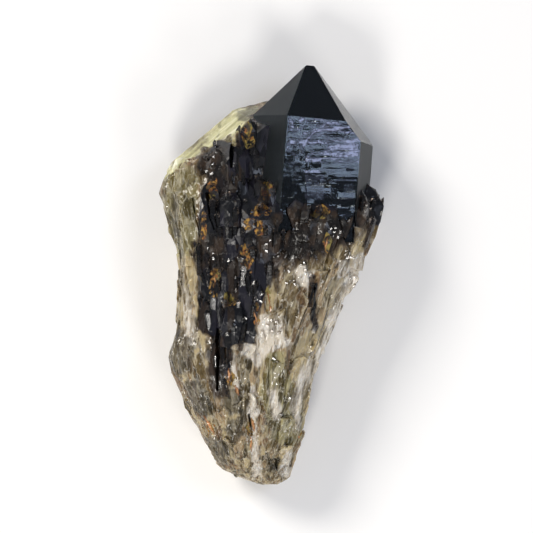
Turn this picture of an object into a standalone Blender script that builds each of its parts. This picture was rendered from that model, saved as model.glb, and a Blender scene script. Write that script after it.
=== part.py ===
"""Smoky quartz crystal group, lying on its back: one solid of intergrown crystals.

Lengths below are in millimetres and the mesh is in metres. +Y runs from the broken root to the tip of the
large crystal, +X is to the right seen from above, and +Z is up. The origin is at the middle of the group's
box, on the surface that the group rests on. The values are from before that centring, under half a millimetre.
"""

import math
import random
from collections import namedtuple

import bmesh
import bpy
from mathutils import Matrix, Vector

MM = 0.001
NODE = "smoky_quartz"

# Quartz geometry
UP = Vector((0.0, 0.0, 1.0))
PRISM_STEP = 60.0  # degrees between neighbouring prism faces
END_FACE_ANGLE = math.radians(51.8)  # from the crystal's axis to the normal of an end face

# The large crystal, as its own face distances from a point on its axis
LARGE_AXIS_POINT = Vector((7.1, 0.0, 21.0))
LARGE_LEAN = 4.4  # degrees that the tip leans to +X
LARGE_TILT = -3.4  # degrees that the tip rises to +Z
LARGE_SPIN = 13.2  # degrees that the front face turns to +X
LARGE_ROOT = 10.0  # where its prism ends inside the group, along its axis
LARGE_TIP = 60.2  # where its worn tip ends, along its axis
LARGE_PRISM = {0: 13.8, 60: 17.3, 120: 14.8, 180: 12.0, -120: 13.8, -60: 15.4}
LARGE_END = {0: 38.1, 60: 37.6, 120: 36.6, 180: 38.0, -120: 38.4, -60: 39.5}

# The ground mass between the crystals: y, left, right, back and front of each section
GROUND = (
    (33.0, -27.0, 20.0, 9.0, 25.5),
    (28.0, -29.6, 24.0, 5.0, 28.4),
    (24.0, -30.6, 28.6, 2.5, 30.8),
    (20.0, -29.6, 30.6, 1.0, 33.0),
    (16.0, -28.0, 29.8, -0.3, 35.2),
    (12.0, -27.2, 28.0, -1.0, 36.0),
    (8.0, -26.5, 26.4, -1.5, 35.8),
    (4.0, -25.7, 24.6, -1.5, 36.0),
    (0.0, -25.4, 23.0, -1.5, 36.0),
    (-4.0, -25.1, 20.8, -1.5, 35.9),
    (-8.0, -25.1, 18.6, -1.5, 35.6),
    (-12.0, -25.2, 17.0, -1.5, 35.2),
    (-16.0, -26.6, 15.5, -1.3, 34.6),
    (-20.0, -28.0, 14.2, -1.0, 34.0),
    (-24.0, -28.5, 12.7, -0.5, 33.2),
    (-28.0, -27.6, 11.3, 0.3, 32.3),
    (-32.0, -25.9, 10.4, 0.6, 31.2),
    (-36.0, -24.1, 9.6, 0.4, 30.0),
    (-40.0, -22.4, 8.7, -0.2, 28.7),
    (-44.0, -20.4, 8.2, -0.8, 27.3),
    (-48.0, -18.4, 7.4, -1.0, 25.8),
    (-52.0, -16.5, 6.0, -0.6, 24.0),
    (-55.0, -14.4, 5.3, 1.2, 22.2),
    (-57.6, -8.6, 4.8, 4.5, 19.6),
    (-59.6, -3.6, 1.4, 8.0, 16.4),
)
GROUND_SQUARENESS = 0.8  # 1 is an ellipse, less is nearer a rectangle
RIBS = 48  # edges and grooves that run along the ground mass, together
RIB_SPACING = (0.5, 1.5)  # of an even spacing
RIB_RELIEF = 0.030  # of the width of a section, up or down
RIB_STRAY = 0.28  # how far a rib wanders along its run, as a share of the relief
RING_STRAY = 0.8  # how far a point of a section strays along the mass

# A crystal that stands out: the x and y of its tip, its width over the prism, its length and how far it stands
# proud of the ground mass, then its turn about its axis, its lean, how far its root stands proud, its front to
# back flatness, and whether it is broken
FIELDS = "x y width length proud spin lean rise flat broken"
Crystal = namedtuple("Crystal", FIELDS, defaults=(None, None, -1.0, 1.0, False))


def broken(x, y, width, length, proud, spin=None, lean=None):
    """A column that ends in a break instead of crystal faces."""
    return Crystal(x, y, width, length, proud, spin, lean, -1.0, 1.0, True)


AROUND_LARGE = (
    Crystal(-6.8, 44.6, 4.4, 13, 11.0, 20),
    Crystal(-9.4, 41.4, 3.8, 11, 8.6, 40),
    Crystal(-16.2, 37.4, 8.8, 13, 5.8, 12),
    Crystal(-20.0, 34.6, 4.6, 9, 3.8, 34),
    Crystal(-12.8, 34.0, 3.4, 10, 3.6, -12),
    Crystal(-7.8, 36.8, 4.8, 9, 6.6, 34, None, 3.0),
    Crystal(-9.6, 30.6, 4.4, 10, 4.2, 12),
    Crystal(-5.4, 29.8, 5.0, 12, 4.4, -4),
    Crystal(-1.4, 27.8, 4.0, 13, 4.8, 12),
    Crystal(1.2, 21.4, 4.4, 12, 5.0, 24),
    Crystal(5.8, 24.2, 6.2, 12, 6.2, 36),
    Crystal(9.0, 21.4, 4.0, 11, 4.6, -8),
    Crystal(12.0, 22.4, 5.2, 14, 4.2, 8),
    Crystal(15.2, 19.4, 4.8, 13, 3.4, 34),
    Crystal(18.6, 17.6, 5.0, 14, 2.8, 12),
    Crystal(21.4, 19.6, 6.2, 18, 2.4, 12),
    Crystal(28.2, 24.4, 7.0, 22, 3.0, 6, 13.0),
    Crystal(30.9, 23.0, 3.8, 18, 1.4, 20, 14.0),
    Crystal(25.0, 21.8, 4.6, 18, 2.0, 0),
)
DARK_MIDDLE = (
    Crystal(-19.3, 24.2, 3.2, 15, 1.6, 0),
    Crystal(-17.2, 26.2, 3.0, 15, 1.8, 25),
    Crystal(-11.8, 26.0, 9.8, 13, 3.6, 2, 2.0, 1.0, 0.8),
    Crystal(-6.2, 21.6, 4.2, 12, 2.2, 14),
    Crystal(-3.0, 22.0, 5.0, 11, 2.6, 30),
    Crystal(-15.0, 15.0, 5.0, 11, 2.0, 18),
    Crystal(-11.0, 13.4, 5.4, 11, 2.4, -8),
    Crystal(-17.2, 10.0, 6.2, 8, 2.6, 22, None, 0.8),
    Crystal(-6.4, 14.2, 4.6, 6, 3.0, 20, None, 1.0),
    Crystal(-7.2, 10.0, 6.0, 10, 2.7, 4, None, 0.6, 0.8),
    Crystal(-2.4, 13.0, 4.6, 12, 2.0, 12),
    Crystal(1.6, 15.0, 4.8, 12, 1.8, 4),
    Crystal(5.8, 15.6, 5.4, 14, 1.6, 26),
    Crystal(10.6, 13.8, 7.2, 15, 2.5, 2),
    Crystal(15.0, 15.6, 4.8, 14, 1.8, 28),
    Crystal(-21.6, 10.0, 4.0, 16, 1.4, 5),
    Crystal(-13.2, 2.8, 3.2, 8, 2.5, 10, None, 0.8),
    Crystal(-10.8, 5.0, 3.6, 9, 2.9, -6, None, 0.8),
    Crystal(-15.6, 3.0, 3.4, 10, 1.9, 16),
    Crystal(-18.0, 3.0, 3.8, 9, 2.1, -10),
    Crystal(-5.2, 3.0, 5.2, 11, 1.9, 14),
    Crystal(-20.1, -3.2, 3.4, 13, 2.2, 12, None, 0.9),
    Crystal(-18.0, -5.0, 3.1, 11, 2.5, -4, None, 0.9),
    Crystal(-16.2, -3.8, 3.0, 11, 1.9, 22),
    Crystal(-13.8, -3.0, 3.4, 6, 2.9, 6, None, 1.0),
    Crystal(-9.2, -4.4, 9.6, 15, 3.4, 8, None, 2.2, 0.85),
    Crystal(-3.6, -1.2, 3.8, 12, 2.0, 10),
)
PALE_COLUMNS = (
    broken(2.4, 8.0, 5.6, 14, 1.4, 3),
    broken(8.6, 6.4, 6.4, 14, 1.7, 14),
    broken(0.4, -8.0, 8.4, 20, 1.4, -5, -2.0),
    broken(5.6, -2.6, 5.2, 20, 1.2, 9),
    broken(9.4, -4.6, 5.0, 22, 1.5, 0),
    broken(13.8, 3.0, 5.0, 26, 1.4, 20),
    broken(17.6, 7.0, 5.2, 26, 1.3, 4),
    broken(21.4, 10.0, 5.0, 24, 1.2, 12),
    broken(24.6, 14.0, 4.8, 26, 1.0, 25),
    broken(27.4, 17.0, 5.0, 28, 0.9, 8),
    broken(-11.3, -18.6, 3.6, 18, 1.8, 26),
    broken(-7.0, -19.6, 5.4, 15, 1.4, 6),
    broken(-18.6, -14.6, 5.2, 22, 1.4, 8),
    broken(-22.6, -9.0, 5.0, 22, 1.2, 15),
    broken(-25.2, -12.0, 5.2, 20, 1.0, 0),
    broken(1.4, -22.0, 6.4, 19, 1.5, 10),
    broken(5.8, -24.0, 4.8, 20, 1.4, -3),
    broken(8.8, -22.0, 4.4, 24, 1.1, 11),
    broken(-5.7, -33.0, 3.2, 24, 2.2, 30),
    broken(-9.6, -35.0, 4.8, 16, 1.4, 24),
    broken(-14.6, -35.0, 5.8, 16, 1.5, 5),
    broken(-19.4, -31.0, 5.2, 18, 1.1, 13),
    broken(-1.4, -37.0, 5.2, 18, 1.7, 6),
    broken(3.6, -39.0, 5.4, 16, 1.6, 0),
    broken(-12.0, -46.0, 4.8, 12, 1.5, 18),
    broken(3.2, -48.0, 3.8, 10, 2.2, 8),
)
LEFT_RIBS = (
    broken(-30.4, 27.9, 4.2, 22, 1.1, None, -13.0),
    broken(-28.3, 29.4, 4.2, 26, 1.3, None, -8.0),
    broken(-25.3, 30.6, 5.0, 28, 2.4, None, -4.0),
    broken(-22.0, 31.8, 4.4, 22, 2.6, None, -3.0),
    broken(-24.4, 5.0, 4.4, 22, 1.2),
    broken(-22.8, -1.0, 4.0, 18, 1.1),
)

# The pale shoulder on the left: a box and the planes that slice it, each as a point and its outward normal
SHOULDER_LOW = Vector((-31.0, 2.0, 5.0))
SHOULDER_HIGH = Vector((2.0, 52.0, 29.0))
SHOULDER_CUTS = (
    (Vector((-20.0, 40.2, 14.0)), Vector((-0.54, 0.64, 0.55))),
    (Vector((-20.0, 40.2, 14.0)), Vector((-0.54, 0.64, -0.50))),
    (Vector((-29.4, 31.8, 14.0)), Vector((-0.72, 0.56, 0.40))),
    (Vector((-29.4, 31.8, 14.0)), Vector((-0.80, 0.30, -0.55))),
    (Vector((-29.9, 28.0, 15.0)), Vector((-0.97, -0.22, 0.10))),
    (Vector((-8.0, 48.6, 13.0)), Vector((-0.20, 0.90, 0.42))),
    (Vector((-8.0, 48.6, 13.0)), Vector((-0.20, 0.80, -0.60))),
    (Vector((-20.0, 30.0, 27.5)), Vector((-0.30, 0.28, 0.91))),
)

# Columns all round the sides and the back: how far up each tier's ends are, and how many there are
TIERS = ((26.0, 9), (12.0, 11), (-2.0, 11), (-16.0, 10), (-30.0, 9), (-42.0, 7))
TIER_ARC = (168.0, 376.0)  # degrees round the section, from high on the left side to high on the right
TIER_STRAY = 5.0  # how far an end may be from its tier
TIER_WIDTH = (4.0, 7.5)
TIER_LENGTH = (14.0, 26.0)
TIER_PROUD = (0.1, 1.1)
TIER_BROKEN = 0.7  # share of the columns
ROOT_END = -56.0  # the lowest that a root reaches
SEED = 7

# Deep gaps between columns: x and y of the top, width, length and depth of the wedge that is cut
GAPS = (
    (-14.7, -14.5, 3.6, 18.5, 10.0),
    (11.7, -3.0, 1.5, 13.0, 6.0),
    (-6.9, -39.0, 1.7, 7.0, 3.0),
    (0.9, -51.5, 2.6, 5.5, 3.0),
    (-11.4, 37.5, 2.4, 7.5, 4.5),
    (-18.5, 23.6, 1.6, 12.0, 3.0),
    (-22.3, 22.0, 1.0, 12.0, 2.2),
    (16.0, 2.0, 1.0, 14.0, 3.0),
)

REST_SLAB = 20.0  # depth of the block that trims the back to a plane

random.seed(SEED)


def clear_scene():
    for obj in list(bpy.data.objects):
        bpy.data.objects.remove(obj)


def slice_off(shape, point, normal):
    """Removes what lies beyond a plane and closes the cut with one flat face."""
    whole = shape.verts[:] + shape.edges[:] + shape.faces[:]
    cut = bmesh.ops.bisect_plane(shape, geom=whole, plane_co=point, plane_no=normal, clear_outer=True)
    rim = [piece for piece in cut["geom_cut"] if isinstance(piece, bmesh.types.BMEdge)]
    if len(rim) > 2:
        bmesh.ops.contextual_create(shape, geom=rim)


def growth_frame(axis, outward, spin):
    """The axis of a crystal, with the normals that its front face and right side have."""
    axis = axis.normalized()
    front = (outward - axis * outward.dot(axis)).normalized()
    right = axis.cross(front)
    turn = Matrix.Rotation(math.radians(spin), 3, axis)
    return axis, turn @ front, turn @ right


def face_normal(frame, azimuth):
    _, front, right = frame
    return math.cos(math.radians(azimuth)) * front + math.sin(math.radians(azimuth)) * right


def quartz(frame, point, prism, ends, root):
    """A convex crystal. prism and ends hold the distance of each face from point, by the face's azimuth."""
    axis = frame[0]
    reach = 4.0 * max(max(prism.values()), max(ends.values()), abs(root))
    shape = bmesh.new()
    bmesh.ops.create_cube(shape, size=2.0 * reach)
    bmesh.ops.translate(shape, verts=shape.verts, vec=point)
    slice_off(shape, point + axis * root, -axis)
    for azimuth, distance in prism.items():
        normal = face_normal(frame, azimuth)
        slice_off(shape, point + normal * distance, normal)
    for azimuth, distance in ends.items():
        normal = math.cos(END_FACE_ANGLE) * axis + math.sin(END_FACE_ANGLE) * face_normal(frame, azimuth)
        slice_off(shape, point + normal * distance, normal)
    return shape


def large_crystal():
    lean, tilt = math.radians(LARGE_LEAN), math.radians(LARGE_TILT)
    axis = Vector((math.sin(lean) * math.cos(tilt), math.cos(lean) * math.cos(tilt), math.sin(tilt)))
    frame = growth_frame(axis, UP, LARGE_SPIN)
    shape = quartz(frame, LARGE_AXIS_POINT, LARGE_PRISM, LARGE_END, LARGE_ROOT)
    slice_off(shape, LARGE_AXIS_POINT + axis * LARGE_TIP, axis)
    return shape


def section_at(y):
    """Left, right, back and front of the ground mass at a height y."""
    for high, low in zip(GROUND, GROUND[1:]):
        if high[0] >= y >= low[0]:
            share = (high[0] - y) / (high[0] - low[0])
            return [a + (b - a) * share for a, b in zip(high[1:], low[1:])]
    return list(GROUND[0][1:] if y > GROUND[0][0] else GROUND[-1][1:])


def on_section(y, degrees):
    """The point of the ground mass's section at y that lies at an angle from +X towards +Z."""
    left, right, back, front = section_at(y)
    turn = math.radians(degrees)
    across = math.copysign(abs(math.cos(turn)) ** GROUND_SQUARENESS, math.cos(turn))
    upward = math.copysign(abs(math.sin(turn)) ** GROUND_SQUARENESS, math.sin(turn))
    x = (left + right) / 2 + across * (right - left) / 2
    z = (back + front) / 2 + upward * (front - back) / 2
    return Vector((x, y, z))


def outward_at(y, degrees):
    """The direction out of the ground mass's section at an angle."""
    along = on_section(y, degrees + 2.0) - on_section(y, degrees - 2.0)
    return Vector((along.z, 0.0, -along.x)).normalized()


def angle_of(x, y):
    """The angle of the front point of the section at y that has this x."""
    left, right, _, _ = section_at(y)
    share = (x - (left + right) / 2) / ((right - left) / 2)
    share = max(-0.97, min(0.97, share))
    return math.degrees(math.acos(math.copysign(abs(share) ** (1.0 / GROUND_SQUARENESS), share)))


def column(y, angle, spec):
    """A crystal or a broken column with unequal faces, whose axis follows the surface of the ground mass."""
    half = spec.width / 2.0
    outward = outward_at(y, angle)
    low_y = max(y - spec.length, ROOT_END)
    tip = on_section(y, angle) + outward * (spec.proud - half * spec.flat)
    root = on_section(low_y, angle) + outward * (spec.rise - half * spec.flat)
    if spec.lean is not None:
        root.x = tip.x - (y - low_y) * math.tan(math.radians(spec.lean))
    spin = random.uniform(-30.0, 30.0) if spec.spin is None else spec.spin
    frame = growth_frame(tip - root, outward, spin)
    azimuths = [step * PRISM_STEP for step in range(6)]
    prism = {a: half * random.uniform(0.8, 1.1) for a in azimuths}
    prism[0.0] = half * spec.flat
    if spec.broken:
        shape = quartz(frame, tip, prism, {0.0: half}, -(tip - root).length)
        for _ in range(2):
            slope = [random.uniform(-0.9, 0.9) for _ in range(2)]
            slice_off(shape, tip, (frame[0] + frame[1] * slope[0] + frame[2] * slope[1]).normalized())
        return shape
    peak = math.cos(END_FACE_ANGLE)
    ends = {a: peak * half * random.uniform(-0.45, 0.0) for a in azimuths}
    return quartz(frame, tip, prism, ends, -(tip - root).length)


def tier_columns():
    """Columns round the sides and the back, a little proud of the ground mass."""
    first, last = TIER_ARC
    for level, count in TIERS:
        for place in range(count):
            angle = first + (last - first) * (place + random.uniform(0.2, 0.8)) / count
            y = level + random.uniform(-TIER_STRAY, TIER_STRAY)
            width, length = random.uniform(*TIER_WIDTH), random.uniform(*TIER_LENGTH)
            proud, is_broken = random.uniform(*TIER_PROUD), random.random() < TIER_BROKEN
            yield column(y, angle, Crystal(0.0, y, width, length, proud, broken=is_broken))


def ground_mass():
    """The intergrown mass that fills the fan, with ribs and grooves that run along its skin."""
    steps = [random.uniform(*RIB_SPACING) for _ in range(RIBS)]
    angles = [360.0 * sum(steps[:rib]) / sum(steps) for rib in range(RIBS)]
    reliefs = [random.uniform(-1.0, 1.0) for _ in range(RIBS)]
    shape = bmesh.new()
    rings = []
    for y, left, right, *_ in GROUND:
        ring = []
        reach = RIB_RELIEF * (right - left)
        stray = RING_STRAY * min(1.0, (right - left) / 30.0)
        for angle, relief in zip(angles, reliefs):
            offset = reach * (relief + random.uniform(-RIB_STRAY, RIB_STRAY))
            point = on_section(y, angle) + outward_at(y, angle) * offset
            point.y += random.uniform(-stray, stray)
            ring.append(shape.verts.new(point))
        rings.append(ring)
    for upper, lower in zip(rings, rings[1:]):
        for rib in range(RIBS):
            after = (rib + 1) % RIBS
            shape.faces.new((upper[rib], upper[after], lower[after], lower[rib]))
    for ring in (rings[0], rings[-1][::-1]):
        centre = shape.verts.new(sum((vert.co for vert in ring), Vector()) / RIBS)
        for rib in range(RIBS):
            shape.faces.new((ring[rib - 1], ring[rib], centre))
    bmesh.ops.triangulate(shape, faces=shape.faces)
    bmesh.ops.recalc_face_normals(shape, faces=shape.faces)
    return shape


def box_between(low, high):
    shape = bmesh.new()
    bmesh.ops.create_cube(shape, size=1.0)
    bmesh.ops.scale(shape, verts=shape.verts, vec=high - low)
    bmesh.ops.translate(shape, verts=shape.verts, vec=(low + high) / 2)
    return shape


def shoulder():
    shape = box_between(SHOULDER_LOW, SHOULDER_HIGH)
    for point, normal in SHOULDER_CUTS:
        slice_off(shape, point, normal.normalized())
    return shape


def gap_wedge(x, y, width, length, depth):
    """A thin wedge along the surface, open at the front and closing to a line at its bottom and its lower end."""
    angle = angle_of(x, y)
    top, bottom = on_section(y, angle), on_section(y - length, angle)
    top.x = x
    axis, front, right = growth_frame(top - bottom, outward_at(y, angle), 0.0)
    shape = box_between(Vector((-width / 2, -length, -depth)), Vector((width / 2, 0.0, depth)))
    for vert in shape.verts:
        across, along, upward = vert.co
        if upward < 0:
            across *= 0.15
        if along < 0:
            across *= 0.4
        vert.co = top + right * across + axis * along + front * upward
    return shape


def mesh_object(name, shape):
    """A Blender object that holds the shape, turned from millimetres to metres."""
    bmesh.ops.scale(shape, verts=shape.verts, vec=Vector((MM, MM, MM)))
    bmesh.ops.recalc_face_normals(shape, faces=shape.faces)
    mesh = bpy.data.meshes.new(name)
    shape.to_mesh(mesh)
    shape.free()
    return bpy.data.objects.new(name, mesh)


def helpers(name, shapes):
    """A collection of shapes that a Boolean reads and that aren't shown."""
    group = bpy.data.collections.new(name)
    bpy.context.scene.collection.children.link(group)
    for number, shape in enumerate(shapes):
        obj = mesh_object(f"{name}_{number:02d}", shape)
        obj.hide_render = True
        obj.display_type = "WIRE"
        group.objects.link(obj)
    return group


def boolean(obj, name, operation, group):
    modifier = obj.modifiers.new(name, "BOOLEAN")
    modifier.operation = operation
    modifier.solver = "EXACT"
    modifier.operand_type = "COLLECTION"
    modifier.collection = group
    modifier.use_self = False


def islands(shape):
    """The separate closed skins of a mesh, each as a set of faces."""
    left = set(shape.faces)
    while left:
        found, waiting = set(), [left.pop()]
        while waiting:
            face = waiting.pop()
            found.add(face)
            for edge in face.edges:
                for other in edge.link_faces:
                    if other in left:
                        left.discard(other)
                        waiting.append(other)
        yield found


def outer_skin(obj):
    """The evaluated shape of obj, centred, without the small sealed hollows that its crystals enclose."""
    graph = bpy.context.evaluated_depsgraph_get()
    shape = bmesh.new()
    shape.from_mesh(bpy.data.meshes.new_from_object(obj.evaluated_get(graph)))
    skins = sorted(islands(shape), key=len)
    for skin in skins[:-1]:
        bmesh.ops.delete(shape, geom=list(skin), context="FACES")
    middle = [(min(side) + max(side)) / 2 for side in zip(*(vert.co for vert in shape.verts))]
    bmesh.ops.translate(shape, verts=shape.verts, vec=(-middle[0], -middle[1], 0.0))
    mesh = bpy.data.meshes.new(NODE)
    shape.to_mesh(mesh)
    shape.free()
    return mesh


def smoky_finish():
    material = bpy.data.materials.new("smoky_quartz")
    material.use_nodes = True
    shader = material.node_tree.nodes["Principled BSDF"]
    shader.inputs["Base Color"].default_value = (0.16, 0.145, 0.13, 1.0)
    shader.inputs["Roughness"].default_value = 0.18
    shader.inputs["Metallic"].default_value = 0.0
    shader.inputs["IOR"].default_value = 1.544
    return material


def main():
    clear_scene()
    group = mesh_object("ground_mass", ground_mass())
    bpy.context.scene.collection.objects.link(group)
    listed = AROUND_LARGE + DARK_MIDDLE + PALE_COLUMNS + LEFT_RIBS
    crystals = [large_crystal(), shoulder()]
    crystals += [column(spec.y, angle_of(spec.x, spec.y), spec) for spec in listed]
    crystals += list(tier_columns())
    boolean(group, "crystals", "UNION", helpers("crystal", crystals))
    boolean(group, "gaps", "DIFFERENCE", helpers("gap", [gap_wedge(*gap) for gap in GAPS]))
    below = box_between(Vector((-60.0, -90.0, -REST_SLAB)), Vector((60.0, 90.0, 0.0)))
    boolean(group, "rest_plane", "DIFFERENCE", helpers("floor", [below]))
    bpy.context.view_layer.update()
    skin = outer_skin(group)
    clear_scene()
    crystal_group = bpy.data.objects.new(NODE, skin)
    crystal_group.data.materials.append(smoky_finish())
    bpy.context.scene.collection.objects.link(crystal_group)


main()
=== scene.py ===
"""The looks of a smoky quartz crystal group that lies on its back and is seen from straight above.

Lengths are in millimetres until a mesh is stored, which is in metres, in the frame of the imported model:
+Y runs from the broken root to the tip, +X is to the right and +Z is up, out of the front of the group.
"""

import math
import random

import bmesh
import bpy
import numpy as np
from mathutils import Matrix, Vector, noise


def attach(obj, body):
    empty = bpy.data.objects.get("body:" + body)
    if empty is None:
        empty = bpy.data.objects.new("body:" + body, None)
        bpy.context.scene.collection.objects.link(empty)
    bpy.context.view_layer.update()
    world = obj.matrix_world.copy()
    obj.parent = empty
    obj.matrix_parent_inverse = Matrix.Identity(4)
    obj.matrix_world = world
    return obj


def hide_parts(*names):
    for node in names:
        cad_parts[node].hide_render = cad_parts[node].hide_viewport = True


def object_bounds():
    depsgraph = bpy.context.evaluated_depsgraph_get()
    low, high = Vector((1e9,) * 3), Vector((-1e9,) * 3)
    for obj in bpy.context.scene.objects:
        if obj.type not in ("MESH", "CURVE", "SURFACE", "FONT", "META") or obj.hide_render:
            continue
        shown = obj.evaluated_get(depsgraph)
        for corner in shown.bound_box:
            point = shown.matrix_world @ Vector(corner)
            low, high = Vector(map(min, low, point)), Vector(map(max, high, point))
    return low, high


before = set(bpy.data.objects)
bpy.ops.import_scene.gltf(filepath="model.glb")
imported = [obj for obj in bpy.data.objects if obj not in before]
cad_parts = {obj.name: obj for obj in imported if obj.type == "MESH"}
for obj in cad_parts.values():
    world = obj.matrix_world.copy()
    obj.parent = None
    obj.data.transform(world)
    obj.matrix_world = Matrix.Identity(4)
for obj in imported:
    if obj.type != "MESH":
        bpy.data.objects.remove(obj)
CAD_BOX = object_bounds()

MM = 0.001
NODE = "smoky_quartz"
CENTRING = Vector((0.45, -0.22, 0.0))  # what part.py moves the group by to centre its box

# The large crystal, with the face distances of part.py by the azimuth of each face about the axis: 0 degrees
# is the front and 90 the right
END_FACE_ANGLE = math.radians(51.8)  # between the axis and the normal of an end face
LARGE_AXIS_POINT = Vector((7.1, 0.0, 21.0))
LARGE_LEAN = 4.4  # degrees that the axis leans to the right
LARGE_TILT = -3.4  # degrees that it rises towards the tip
LARGE_SPIN = 13.2  # degrees that the front face is turned to the right about it
LARGE_TIP = 60.2  # along the axis to the small flat that ends it
LARGE_PRISM = {0: 13.8, 60: 17.3, 120: 14.8, 180: 12.0, -120: 13.8, -60: 15.4}
LARGE_END = {0: 38.1, 60: 37.6, 120: 36.6, 180: 38.0, -120: 38.4, -60: 39.5}
BLOCK = 400.0  # size of the block that a crystal is cut from
ON_PLANE = 0.03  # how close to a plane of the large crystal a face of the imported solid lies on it
SAME_WAY = 0.9995  # least cosine of the angle between their normals

# The front face of the large crystal: places on it, seen from the front
FACE_ROW = 0.16  # spacing of the mesh rows along the axis, fine enough for the striations
FACE_COLUMN = 0.32
FACE_LOW = 9.0  # where the rows start and end along the axis
FACE_HIGH = 47.0
FACE_HALF_WIDTH = 16.0
FACE_RIDGES = (((8.6, 36.3), (9.6, 38.6), (11.3, 40.4), (13.6, 41.3), (17.5, 41.4), (19.0, 41.3)),
               ((20.6, 39.9), (21.6, 40.9), (23.2, 41.5)))
RIDGE_HALF_WIDTH = 0.22
RIDGE_RISE = 0.08
FACE_STEP_X = 9.3  # a crack-like step that runs down the face, from FACE_STEP_TOP
FACE_STEP_TOP = 35.2
FACE_STEP_RISE = 0.16
FACE_DIM_BELOW = 28.0  # the face bends away a little below this
# Etched plates and pits: x, y, half width, half height, rise and slopes of the two that show well, and from
# where to where each of these is drawn for the others
CLEAR_PLATES = ((11.9, 31.4, 1.7, 0.95, -0.16, 0.0, -0.16), (11.8, 33.0, 2.4, 0.6, 0.05, 0.0, 0.07))
OTHER_PLATES = 60
PLATE_X = (2.0, 24.5)
PLATE_Y = (17.0, 44.0)
PLATE_HALF_WIDTH = (0.8, 4.6)
PLATE_HALF_HEIGHT = (0.25, 1.2)
PLATE_RISE = (0.01, 0.05)  # up or down
PLATE_SLOPE_X = (-0.04, 0.04)
PLATE_SLOPE_Y = (-0.10, 0.10)
# Etched marks painted paler or darker than the face around, with more or less painted reflection of the
# lavender light: x, y, half width, half height and added etching and painted sheen
FACE_ETCH_AND_SHEEN_MARKS = (
    (11.4, 32.65, 2.2, 0.50, 0.95), (11.0, 29.50, 2.3, 0.42, 0.95), (11.6, 31.2, 1.8, 0.95, -0.90),
    (19.5, 37.4, 4.8, 1.9, 0.30), (20.4, 34.2, 3.9, 0.6, 0.75), (14.8, 37.1, 2.9, 0.5, -0.35),
    (21.5, 33.2, 2.7, 0.4, -0.35), (21.9, 28.7, 2.2, 0.9, -0.30), (20.8, 27.1, 3.1, 0.3, 0.35),
    (15.5, 32.0, 1.6, 1.2, -0.25), (7.0, 37.8, 2.8, 1.2, 0.20), (5.4, 37.6, 0.6, 0.4, 0.50),
    (3.9, 36.1, 0.4, 0.3, 0.60), (18.2, 42.5, 3.6, 0.14, -0.50), (19.4, 43.6, 0.2, 1.1, -0.50),
    (20.2, 41.1, 0.2, 1.2, -0.50), (19.1, 39.9, 5.3, 0.14, -0.50), (23.1, 34.85, 1.2, 0.12, -0.60),
    (17.0, 44.2, 4.0, 0.9, 0.15), (11.8, 25.0, 2.8, 3.6, 0.16), (21.4, 24.0, 1.8, 2.2, 0.10),
    (19.5, 24.0, 0.2, 2.2, -0.30), (16.6, 26.6, 1.2, 0.14, 0.25), (13.0, 34.4, 3.6, 0.25, 0.25),
)

# The point in the root that all the columns fan out from, and how far from it widths across them are measured
FAN_FOCUS = Vector((-10.0, -105.0, 19.0))
FAN_REACH = 110.0

SLAB_TURN = -39.0  # turns the streaks of the shoulder's slab onto X, in degrees

# Material slots of the group
COLUMNS = 0
GROWTH_FACES = 1
SATIN_FACES = 2
# The faces of the large crystal that are satin, by their place in the list of its planes: left and right
# sides of the prism and the end face above the left one
SATIN_PLANES = (1, 5, 11)
GLASSY_ROUGHNESS = 0.09
SATIN_ROUGHNESS = 0.55
QUARTZ_IOR = 1.544

# The skin of the group
FRONT_ABOVE = 17.0  # the height over which it counts as the front
FRONT_EDGE = 0.8  # longest edge on the front
BACK_EDGE = 1.7
LARGE_EDGE = 1000.0  # on the faces of the large crystal, which aren't refined
REFINE_ROUNDS = 9
FRONT_FADE = (16.0, 20.0)  # heights between which the leaning breaks and the small crystals set in
ZONE_FADE = (8.0, 18.0)  # heights between which the zones set in that are drawn as seen from the front
CHIP_WIDE = 2.4  # chipped facets, across the fan and along it
CHIP_LONG = 5.5
CHIP_RISE = 0.7
CHIP_DRAW = 37.0  # spreads the corners of the chips, so that each draws its own lean
SWELL_LONG = 14.0
SWELL_RISE = 0.16
FIBRE_WIDE = 0.8
FIBRE_LONG = 2.4
FIBRE_RISE = 0.05
CALMED = 0.85  # how much of the chips is missing on calm places

# Lights, in metres. Each soft box has its place, size, colour and radiance, and faces AIM.
AIM = Vector((0.0, 0.0, 0.02))
KEY_PLACE = Vector((-0.22, -0.82, 0.88))
SOFT_BOXES = (
    ("lavender_box", (0.55, 0.25, 0.95), (0.30, 0.40), (0.74, 0.82, 1.0), 4.4),
    ("right_box", (0.50, -0.75, 0.75), (0.3, 0.3), (1.0, 0.97, 0.92), 10.0),
    ("left_box", (-0.66, 0.55, 0.82), (0.36, 0.36), (1.0, 0.96, 0.89), 22.0),
    ("key_box", KEY_PLACE, (0.26, 0.26), (1.0, 0.97, 0.92), 29.0),
)
SKY_COLOUR = "#e8efff"
SKY_STRENGTH = 0.24
# A face with this normal mirrors the key light up to the camera
GLINT_NORMAL = ((KEY_PLACE - AIM).normalized() + Vector((0.0, 0.0, 1.0))).normalized()
GLINT_WEIGHT = 30.0  # how much more a glittering chip follows it than the normal of the skin

FLOOR_HALF_WIDTH = 1500.0

# The camera, in metres: the width of the view at VIEW_LEVEL, its middle, and how far above that the camera is
VIEW_WIDTH = 0.1514
VIEW_MIDDLE = (-0.0018, 0.0027)
VIEW_LEVEL = 0.025
CAMERA_ABOVE = 1.2
CAMERA_REACH = 10.0
SENSOR = 36.0  # in millimetres, as the lens is

random.seed(11)

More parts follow.
